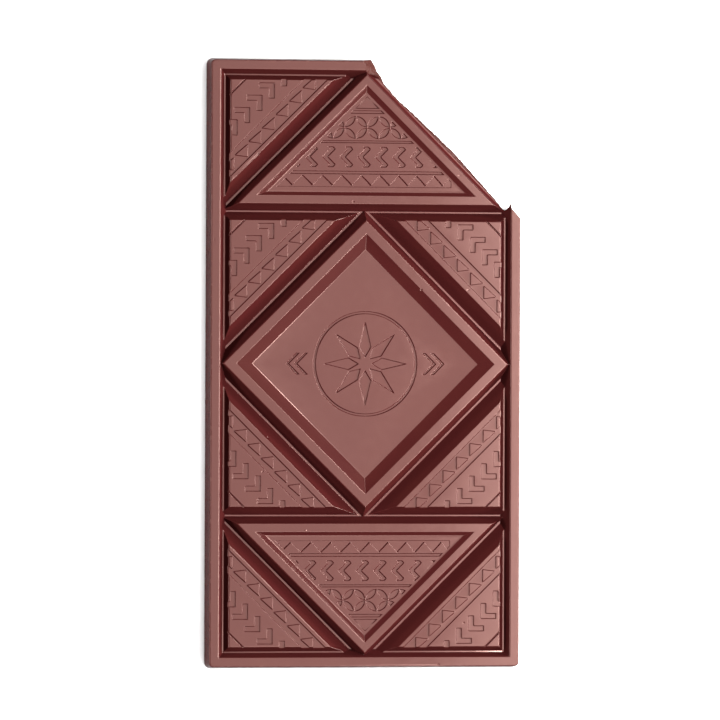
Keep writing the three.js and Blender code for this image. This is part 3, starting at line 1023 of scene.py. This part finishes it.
def smooth_normals(points, faces):
    """The mean normal of the faces round each point."""
    normals = np.zeros_like(points)
    across = points[faces[:, 2]] - points[faces[:, 0]]
    along = points[faces[:, 3]] - points[faces[:, 1]]
    facing = np.cross(across, along)
    for k in range(4):
        np.add.at(normals, faces[:, k], facing)
    length = np.linalg.norm(normals, axis=1, keepdims=True)
    return normals / np.where(length > 0, length, 1)


def build_mesh():
    path = edge_path()
    corners, triangles = net_of_triangles(path)
    x, y = corners[:, 0], corners[:, 1]
    face = np.column_stack([corners, face_height(x, y)])
    face_normal = face_normals(x, y)

    loop = rim_of(triangles)
    columns = on_path(path, x[loop], y[loop])
    heads = face[loop]
    profile = side_profile()
    outward, spread, lean, rough, normal = (
        columns[:, 2:4], columns[:, 4:5], columns[:, 5:7], columns[:, 7:8], columns[:, 8:10]
    )
    rows = []
    for out, height, _ in profile[1:]:
        share = height / THICKNESS
        flat = heads[:, :2] + spread * out * outward + lean * (1 - share)
        rows.append(np.column_stack([flat, heads[:, 2] * share]))
    for points in rows:
        ragged = rough[:, 0] > 0
        below = np.clip((heads[ragged, 2:] - points[ragged, 2:]) / GRAIN_TOP, 0, 1)
        shift = grain(points[ragged]) * rough[ragged] * below
        shift[:, 2] *= np.clip(points[ragged, 2] / GRAIN_FOOT, 0, 1)
        points[ragged] += shift
    sides = np.concatenate(rows)
    points = np.concatenate([face, sides])

    count = len(loop)
    index = np.concatenate([loop[None], len(face) + np.arange(len(sides)).reshape(len(rows), count)])
    after = np.roll(index, -1, axis=1)
    quads = np.stack([index[:-1], index[1:], after[1:], after[:-1]], -1)
    beside = on_path(path, *(0.5 * (heads + np.roll(heads, -1, axis=0)))[:, :2].T)
    broken = np.tile(beside[:, 10] > 0, (len(rows), 1)).reshape(-1)
    quads = quads.reshape(-1, 4)

    foot = index[-1]
    round_back = points[foot, :2]
    ring = [(i, (i + 1) % count) for i in range(count)]
    back = delaunay_2d_cdt([Vector(p) for p in round_back], ring, [], 0, BACK_TOLERANCE, False)[2]
    back = foot[within_outline(np.array(back), round_back, round_back)[:, ::-1]]

    tilt = np.repeat(profile[:, 2], count).reshape(len(profile), count, 1)
    level = normal / np.maximum(np.linalg.norm(normal, axis=1, keepdims=True), 1e-9)
    level = np.tile(level, (len(profile), 1, 1))
    side_normal = np.concatenate([np.cos(tilt) * level, np.sin(tilt)], 2)
    next_normal = np.roll(side_normal, -1, 1)
    side_normal = np.stack([side_normal[:-1], side_normal[1:], next_normal[1:], next_normal[:-1]], 2)
    side_normal = side_normal.reshape(-1, 4, 3)
    broken_normal = smooth_normals(points, quads[broken])
    side_normal[broken] = broken_normal[quads[broken]]

    faces = triangles.tolist() + quads.tolist() + back.tolist()
    loop_normals = np.concatenate([
        face_normal[triangles].reshape(-1, 3),
        side_normal.reshape(-1, 3),
        np.tile([0.0, 0.0, -1.0], (3 * len(back), 1)),
    ])
    mesh = bpy.data.meshes.new("milk_chocolate_bar")
    mesh.from_pydata((points * MM).tolist(), [], faces)
    mesh.polygons.foreach_set("use_smooth", [True] * len(faces))
    material = np.zeros(len(faces), dtype=int)
    material[len(triangles):len(triangles) + len(quads)] = np.where(broken, BROKEN_SLOT, SIDE_SLOT)
    mesh.polygons.foreach_set("material_index", material)
    mesh.normals_split_custom_set(loop_normals.tolist())
    return mesh


def put_in_scene(name, data):
    thing = bpy.data.objects.new(name, data)
    bpy.context.scene.collection.objects.link(thing)
    return thing


bar = put_in_scene("milk_chocolate_bar", build_mesh())
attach(bar, "root")
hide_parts("chocolate_bar")


# Materials

STEEP = 0.5  # upward part of the normal where a wall counts as steep
NEARLY_LEVEL = 0.85
PATCHES = {"waves": 0.09, "detail": 3, "from": 0.4, "to": 0.7}
DULL_SPOTS = {"waves": 0.5, "detail": 2, "from": 0.3, "to": 0.7}


def principled(name):
    material = bpy.data.materials.new(name)
    material.use_nodes = True
    return material, material.node_tree


def noise_node(tree, waves, detail):
    """Noise of so many waves for each millimetre."""
    place = tree.nodes.new("ShaderNodeTexCoord")
    texture = tree.nodes.new("ShaderNodeTexNoise")
    texture.inputs["Scale"].default_value = waves / MM
    texture.inputs["Detail"].default_value = detail
    texture.inputs["Roughness"].default_value = 0.5
    tree.links.new(place.outputs["Object"], texture.inputs["Vector"])
    return texture.outputs["Fac"]


def ramp(tree, value, low_end, high_end, low_value, high_value):
    node = tree.nodes.new("ShaderNodeMapRange")
    node.inputs["From Min"].default_value = low_end
    node.inputs["From Max"].default_value = high_end
    node.inputs["To Min"].default_value = low_value
    node.inputs["To Max"].default_value = high_value
    tree.links.new(value, node.inputs["Value"])
    return node.outputs["Result"]


def spots(tree, kind, low_value, high_value):
    """Soft spots of one value in another."""
    value = noise_node(tree, kind["waves"], kind["detail"])
    return ramp(tree, value, kind["from"], kind["to"], low_value, high_value)


def blend_colours(tree, share, a, b):
    node = tree.nodes.new("ShaderNodeMix")
    node.data_type = "RGBA"
    tree.links.new(share, node.inputs["Factor"])
    for name, colour in (("A", a), ("B", b)):
        if isinstance(colour, tuple):
            node.inputs[name].default_value = (*colour, 1)
        else:
            tree.links.new(colour, node.inputs[name])
    return node.outputs["Result"]


def bump(tree, height, rise, under=None):
    """Unevenness that rises so many millimetres over the noise's range."""
    node = tree.nodes.new("ShaderNodeBump")
    node.inputs["Distance"].default_value = rise * MM
    tree.links.new(height, node.inputs["Height"])
    if under:
        tree.links.new(under, node.inputs["Normal"])
    return node.outputs["Normal"]


def upward_part(tree, coordinate):
    place = tree.nodes.new("ShaderNodeTexCoord")
    parts = tree.nodes.new("ShaderNodeSeparateXYZ")
    tree.links.new(place.outputs[coordinate], parts.inputs["Vector"])
    return parts.outputs["Z"]


def gloss_of_slope(tree, steep, level):
    """How strongly the surface mirrors: little on steep walls, scuffed as the bar leaves its mould."""
    return ramp(tree, upward_part(tree, "Normal"), STEEP, NEARLY_LEVEL, steep, level)


def painted_light_share(tree, start):
    """Share of painted light: how far down a place is, from 0 at a height to 1 at the bottom of a score
    line.
    """
    height = upward_part(tree, "Object")
    return ramp(tree, height, (THICKNESS - SCORE_DEPTH) * MM, start * MM, 1, 0)


def chocolate(name, plain, patchy, roughness, lumps, gloss, painted_light=()):
    """Chocolate between two colours, with a range of roughness and lumps of several sizes.

    Painted light makes the walls paler low down, where the walls block the lamps' light, and a painted
    highlight makes the bottoms of the score lines paler still. Each such colour comes with the height at
    which it starts.
    """
    material, tree = principled(name)
    shader = tree.nodes["Principled BSDF"]
    shader.inputs["IOR"].default_value = 1.46
    shader.inputs["Specular Tint"].default_value = (1.0, 0.63, 0.55, 1)
    tree.links.new(gloss_of_slope(tree, *gloss), shader.inputs["Specular IOR Level"])
    colour = blend_colours(tree, spots(tree, PATCHES, 0, 1), plain, patchy)
    # Painted light low on the walls and a painted highlight at the bottoms of the score lines, mixed over
    # the chocolate's own colour by height
    for start, painted_light_colour in painted_light:
        colour = blend_colours(tree, painted_light_share(tree, start), colour, painted_light_colour)
    tree.links.new(colour, shader.inputs["Base Color"])
    tree.links.new(spots(tree, DULL_SPOTS, *roughness), shader.inputs["Roughness"])
    normal = None
    for waves, rise in lumps:
        normal = bump(tree, noise_node(tree, waves, 2), rise, normal)
    tree.links.new(normal, shader.inputs["Normal"])
    return material


MOULDED = ((0.0335, 0.0056, 0.0055), (0.0355, 0.0064, 0.0058))
MOULDED_LUMPS = ((0.25, 0.008), (2.5, 0.0008))
BROKEN = ((0.039, 0.0122, 0.0105), (0.048, 0.0165, 0.0135))
BROKEN_LUMPS = ((1.5, 0.15), (5.0, 0.06))
# Painted light: the walls turn paler low down, in place of lamp light that the score lines' walls block, and
# paler still at the bottoms of the score lines as a painted highlight along their floors
PAINTED_LIGHT_LOW_ON_WALLS = (0.8 * THICKNESS, (0.045, 0.0076, 0.0075))
PAINTED_HIGHLIGHT_IN_SCORES = (THICKNESS - SCORE_DEPTH + 0.12, (0.062, 0.016, 0.0155))
for finish in (
    chocolate(
        "moulded_chocolate", *MOULDED, roughness=(0.11, 0.15), lumps=MOULDED_LUMPS, gloss=(0.0, 0.5),
        painted_light=(PAINTED_LIGHT_LOW_ON_WALLS, PAINTED_HIGHLIGHT_IN_SCORES),
    ),
    chocolate("broken_chocolate", *BROKEN, roughness=(0.45, 0.6), lumps=BROKEN_LUMPS, gloss=(0.0, 0.2)),
    chocolate("moulded_sides", *MOULDED, roughness=(0.2, 0.3), lumps=MOULDED_LUMPS, gloss=(0.008, 0.5)),
):
    bar.data.materials.append(finish)


# Floor, light and camera

FLOOR_SIZE = 3.0
FLOOR_WHITE = (0.92, 0.92, 0.92)
FLOOR_ROUGHNESS = 0.9
WORLD_STRENGTH = 0.02
floor_mesh = bpy.data.meshes.new("floor")
half = FLOOR_SIZE / 2
floor_corners = [(-half, -half, 0), (half, -half, 0), (half, half, 0), (-half, half, 0)]
floor_mesh.from_pydata(floor_corners, [], [(0, 1, 2, 3)])
floor = put_in_scene("floor", floor_mesh)
paint, paint_tree = principled("floor_white")
paint_shader = paint_tree.nodes["Principled BSDF"]
paint_shader.inputs["Base Color"].default_value = (*FLOOR_WHITE, 1)
paint_shader.inputs["Roughness"].default_value = FLOOR_ROUGHNESS
floor_mesh.materials.append(paint)


def softbox(name, x, y, brightness):
    """A level softbox over a range of x and y, in metres, with watts for each square metre."""
    data = bpy.data.lights.new(name, "AREA")
    data.shape = "RECTANGLE"
    data.size, data.size_y = x[1] - x[0], y[1] - y[0]
    data.energy = brightness * data.size * data.size_y
    light = put_in_scene(name, data)
    light.location = ((x[0] + x[1]) / 2, (y[0] + y[1]) / 2, SOFTBOX_HEIGHT)


SOFTBOX_HEIGHT = 0.36
ALONG_BAR = (-0.1125, 0.1125)
softbox("overhead", (-0.045, 0.081), ALONG_BAR, 13.7)
softbox("overhead_edge", (0.081, 0.135), ALONG_BAR, 28.7)
softbox("key", (0.135, 0.171), ALONG_BAR, 241.0)
softbox("key_edge", (0.171, 0.216), ALONG_BAR, 46.0)
softbox("front", (0.0, 0.18), (-0.3375, -0.1125), 31.0)
softbox("back", (0.0, 0.18), (0.1125, 0.3375), 22.5)
softbox("right_fill", (0.72, 1.26), (-0.6, 0.6), 147.0)
softbox("right_middle", (0.22, 0.5), (-0.4, 0.4), 2.2)
softbox("left_fill", (-1.26, -0.72), (-0.4, 0.4), 75.0)

world = bpy.data.worlds.new("studio")
bpy.context.scene.world = world
world.use_nodes = True
background = world.node_tree.nodes["Background"]
background.inputs["Color"].default_value = (1, 1, 1, 1)
background.inputs["Strength"].default_value = WORLD_STRENGTH

CAMERA_DISTANCE = 1260
CAMERA_LENS = 263.7
CAMERA_TILT = math.atan(0.147)  # the camera stands to the left of the point straight above
CAMERA_ROLL = 0.0042
AIM = Vector((-1.44, 0.915, THICKNESS))

forward = Vector((math.sin(CAMERA_TILT), 0, -math.cos(CAMERA_TILT)))
right = Vector((math.cos(CAMERA_TILT), 0, math.sin(CAMERA_TILT)))
up = Vector((0, 1, 0))
right, up = (right + CAMERA_ROLL * up).normalized(), (up - CAMERA_ROLL * right).normalized()
camera_data = bpy.data.cameras.new("camera")
camera_data.lens, camera_data.sensor_width = CAMERA_LENS, 36
camera_data.clip_start, camera_data.clip_end = 0.05, 20
camera = put_in_scene("camera", camera_data)
axes = Matrix((right, up, -forward)).transposed().to_4x4()
camera.matrix_world = Matrix.Translation((AIM - forward * CAMERA_DISTANCE) * MM) @ axes
bpy.context.scene.camera = camera
bpy.context.scene.view_settings.view_transform = "Standard"
